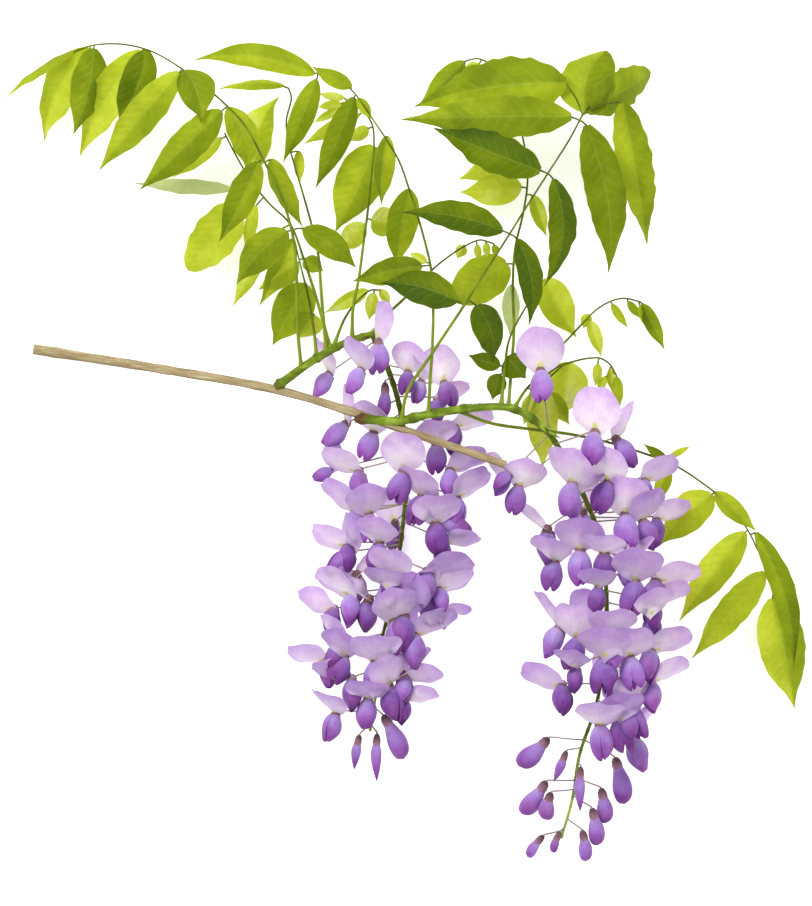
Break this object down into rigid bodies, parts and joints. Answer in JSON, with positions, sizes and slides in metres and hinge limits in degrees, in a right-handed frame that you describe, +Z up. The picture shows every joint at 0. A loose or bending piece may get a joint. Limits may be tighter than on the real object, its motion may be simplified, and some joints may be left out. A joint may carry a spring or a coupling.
{
  "type": "cut wisteria branch",
  "caption": "Cut wisteria branch lying on its side: a woody stem with green shoots, compound leaves and hanging clusters of lilac pea flowers.",
  "frame": {"origin": "middle of the branch's bounding box, on the surface that it lies on", "axes": "+Z up from the surface, +Y along the branch's longest extent, from the racemes' tips towards the leaves, +X from the stem's cut end towards its other end"},
  "size_m": [0.4027, 0.4103, 0.0866],
  "materials": {
    "bark": "matte",
    "shoot": "satin",
    "leaf": "satin",
    "petal": "matte"
  },
  "bodies": {
    "root": {"woody_stem": "bark", "shoot_left": "shoot", "shoot_right": "shoot", "leaf_left_arch": "leaf", "leaf_left_back": "leaf", "leaf_left_low": "leaf", "leaf_left_young": "leaf", "leaf_left_sprig": "leaf", "leaf_middle": "leaf", "leaf_upper": "leaf", "leaf_right_main": "leaf", "leaf_right_back": "leaf", "leaf_right_mid": "leaf", "leaf_right_low": "leaf", "leaf_young_far": "leaf", "leaf_young_near": "leaf", "leaf_middle_young": "leaf", "leaf_far_right": "leaf", "raceme_left": "petal", "raceme_right": "petal"}
  },
  "joints": []
}
